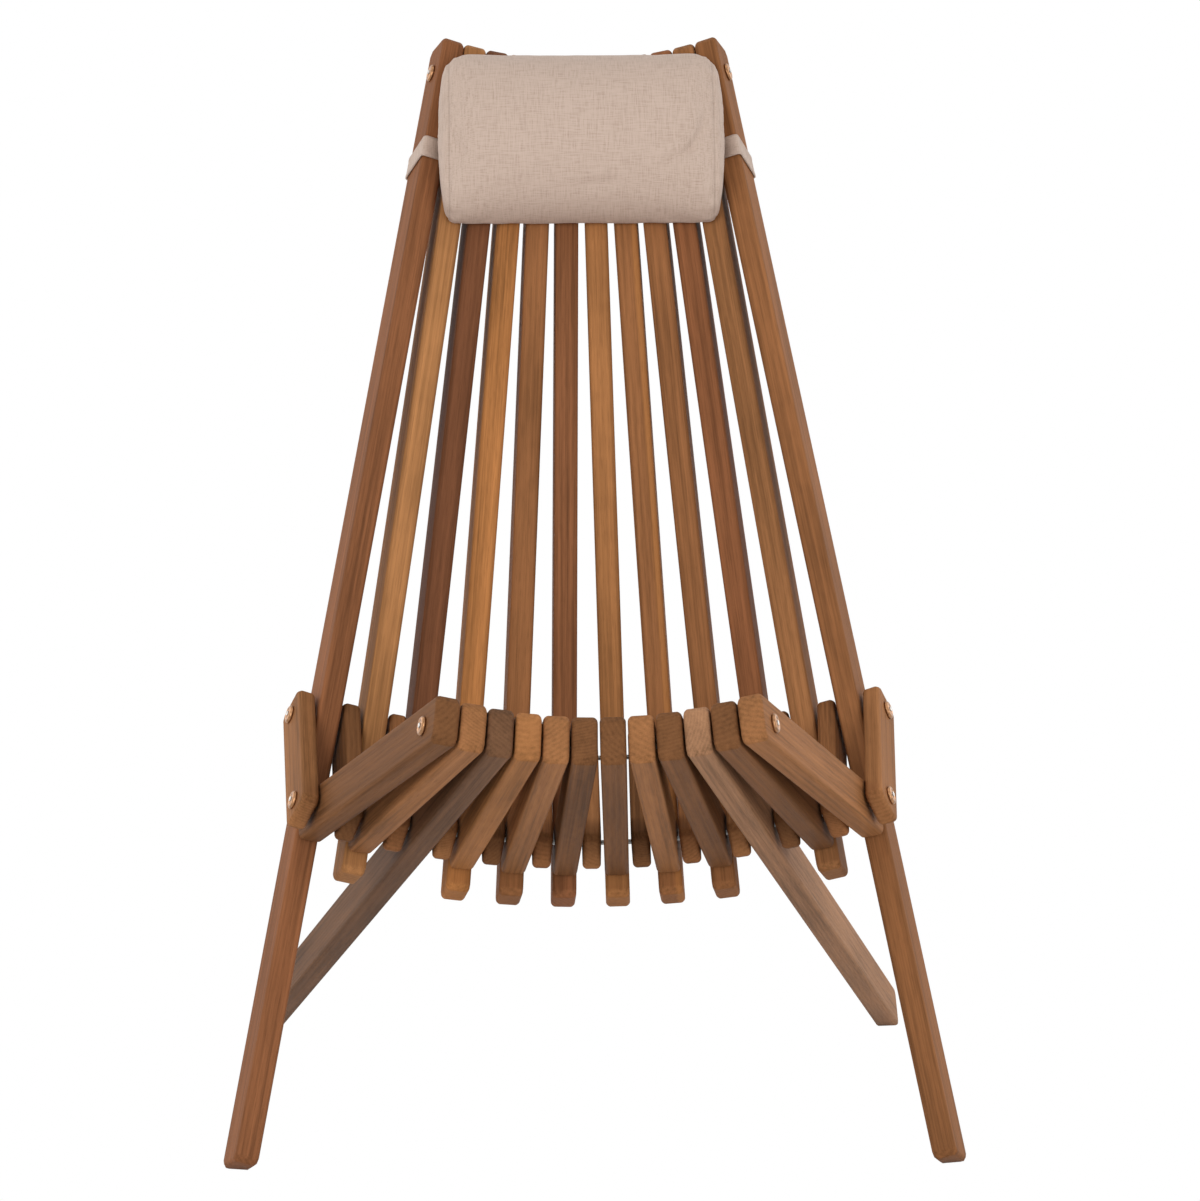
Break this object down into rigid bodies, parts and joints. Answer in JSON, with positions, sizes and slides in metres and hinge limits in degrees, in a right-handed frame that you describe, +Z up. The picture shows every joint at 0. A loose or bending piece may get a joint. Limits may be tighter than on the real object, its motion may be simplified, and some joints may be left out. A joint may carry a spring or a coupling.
{
  "type": "folding lounge chair",
  "caption": "Folding slatted lounge chair: wooden slats fan out from wires at the hip, the seat swings up against the back, and a padded head roll is strapped to the top.",
  "frame": {"origin": "floor level, under the middle of the chair's bounding box", "axes": "+X to the sitter's left, +Y from the seat's front to the back, +Z up"},
  "size_m": [0.612, 0.9601, 0.9221],
  "materials": {
    "dark_acacia": "oiled, satin",
    "golden_acacia": "oiled, satin",
    "brown_acacia": "oiled, satin",
    "grey_brown_acacia": "oiled, satin",
    "wire_steel": "drawn wire",
    "copper_cap": "copper-coloured, polished",
    "oatmeal_fabric": "woven, matt"
  },
  "bodies": {
    "back": {"back_slat_01": "brown_acacia", "back_slat_02": "golden_acacia", "back_slat_03": "dark_acacia", "back_slat_04": "golden_acacia", "back_slat_05": "brown_acacia", "back_slat_06": "brown_acacia", "back_slat_07": "golden_acacia", "back_slat_08": "brown_acacia", "back_slat_09": "brown_acacia", "back_slat_10": "dark_acacia", "back_slat_11": "brown_acacia", "back_slat_12": "brown_acacia", "link_01": "grey_brown_acacia", "link_02": "grey_brown_acacia", "link_03": "grey_brown_acacia", "link_04": "grey_brown_acacia", "link_05": "grey_brown_acacia", "link_06": "grey_brown_acacia", "link_07": "grey_brown_acacia", "link_08": "grey_brown_acacia", "link_09": "grey_brown_acacia", "link_10": "grey_brown_acacia", "link_11": "grey_brown_acacia", "link_12": "grey_brown_acacia", "link_13": "grey_brown_acacia", "top_wire": "wire_steel", "upper_hip_wire": "wire_steel", "lower_hip_wire": "wire_steel", "wire_caps": "copper_cap", "pillow": "oatmeal_fabric", "strap_back": "oatmeal_fabric", "strap_left": "oatmeal_fabric", "strap_right": "oatmeal_fabric"},
    "seat_01": {"seat_slat_01": "grey_brown_acacia", "front_wire_01": "wire_steel", "front_cap_right": "copper_cap"},
    "seat_02": {"seat_slat_02": "brown_acacia", "front_wire_02": "wire_steel"},
    "seat_03": {"seat_slat_03": "grey_brown_acacia", "front_wire_03": "wire_steel"},
    "seat_04": {"seat_slat_04": "brown_acacia", "front_wire_04": "wire_steel"},
    "seat_05": {"seat_slat_05": "grey_brown_acacia", "front_wire_05": "wire_steel"},
    "seat_06": {"seat_slat_06": "grey_brown_acacia", "front_wire_06": "wire_steel"},
    "seat_07": {"seat_slat_07": "grey_brown_acacia", "front_wire_07": "wire_steel"},
    "seat_08": {"seat_slat_08": "grey_brown_acacia", "front_wire_08": "wire_steel"},
    "seat_09": {"seat_slat_09": "grey_brown_acacia", "front_wire_09": "wire_steel"},
    "seat_10": {"seat_slat_10": "grey_brown_acacia", "front_wire_10": "wire_steel"},
    "seat_11": {"seat_slat_11": "grey_brown_acacia", "front_wire_11": "wire_steel"},
    "seat_12": {"seat_slat_12": "grey_brown_acacia", "front_wire_12": "wire_steel", "front_cap_left": "copper_cap"}
  },
  "joints": [
    {"name": "seat_fold_10", "type": "hinge", "parent": "back", "child": "seat_10", "pos_m": [0.13946, -0.18707, 0.26374], "axis": [-0.9805, 0.1526, -0.124], "range_deg": [0, 92]},
    {"name": "seat_fold_01", "type": "hinge", "parent": "back", "child": "seat_01", "pos_m": [-0.21587, -0.20341, 0.28288], "axis": [-0.952, -0.2377, 0.1926], "range_deg": [0, 92]},
    {"name": "seat_fold_02", "type": "hinge", "parent": "back", "child": "seat_02", "pos_m": [-0.17811, -0.19437, 0.27228], "axis": [-0.9678, -0.1954, 0.1586], "range_deg": [0, 92]},
    {"name": "seat_fold_03", "type": "hinge", "parent": "back", "child": "seat_03", "pos_m": [-0.13946, -0.18707, 0.26374], "axis": [-0.9805, -0.1526, 0.124], "range_deg": [0, 92]},
    {"name": "seat_fold_04", "type": "hinge", "parent": "back", "child": "seat_04", "pos_m": [-0.10011, -0.18157, 0.2573], "axis": [-0.99, -0.1093, 0.0889], "range_deg": [0, 92]},
    {"name": "seat_fold_05", "type": "hinge", "parent": "back", "child": "seat_05", "pos_m": [-0.06027, -0.17789, 0.25299], "axis": [-0.9964, -0.0657, 0.0535], "range_deg": [0, 92]},
    {"name": "seat_fold_06", "type": "hinge", "parent": "back", "child": "seat_06", "pos_m": [-0.02012, -0.17604, 0.25083], "axis": [-0.9996, -0.0219, 0.0178], "range_deg": [0, 92]},
    {"name": "seat_fold_07", "type": "hinge", "parent": "back", "child": "seat_07", "pos_m": [0.02012, -0.17604, 0.25083], "axis": [-0.9996, 0.0219, -0.0178], "range_deg": [0, 92]},
    {"name": "seat_fold_08", "type": "hinge", "parent": "back", "child": "seat_08", "pos_m": [0.06027, -0.17789, 0.25299], "axis": [-0.9964, 0.0657, -0.0535], "range_deg": [0, 92]},
    {"name": "seat_fold_09", "type": "hinge", "parent": "back", "child": "seat_09", "pos_m": [0.10011, -0.18157, 0.2573], "axis": [-0.99, 0.1093, -0.0889], "range_deg": [0, 92]},
    {"name": "seat_fold_11", "type": "hinge", "parent": "back", "child": "seat_11", "pos_m": [0.17811, -0.19437, 0.27228], "axis": [-0.9678, 0.1954, -0.1586], "range_deg": [0, 92]},
    {"name": "seat_fold_12", "type": "hinge", "parent": "back", "child": "seat_12", "pos_m": [0.21587, -0.20341, 0.28288], "axis": [-0.952, 0.2377, -0.1926], "range_deg": [0, 92]}
  ],
  "couplings": [
    {"joint": "seat_fold_01", "follows": "seat_fold_10", "ratio": 1},
    {"joint": "seat_fold_02", "follows": "seat_fold_10", "ratio": 1},
    {"joint": "seat_fold_03", "follows": "seat_fold_10", "ratio": 1},
    {"joint": "seat_fold_04", "follows": "seat_fold_10", "ratio": 1},
    {"joint": "seat_fold_05", "follows": "seat_fold_10", "ratio": 1},
    {"joint": "seat_fold_06", "follows": "seat_fold_10", "ratio": 1},
    {"joint": "seat_fold_07", "follows": "seat_fold_10", "ratio": 1},
    {"joint": "seat_fold_08", "follows": "seat_fold_10", "ratio": 1},
    {"joint": "seat_fold_09", "follows": "seat_fold_10", "ratio": 1},
    {"joint": "seat_fold_11", "follows": "seat_fold_10", "ratio": 1},
    {"joint": "seat_fold_12", "follows": "seat_fold_10", "ratio": 1}
  ]
}
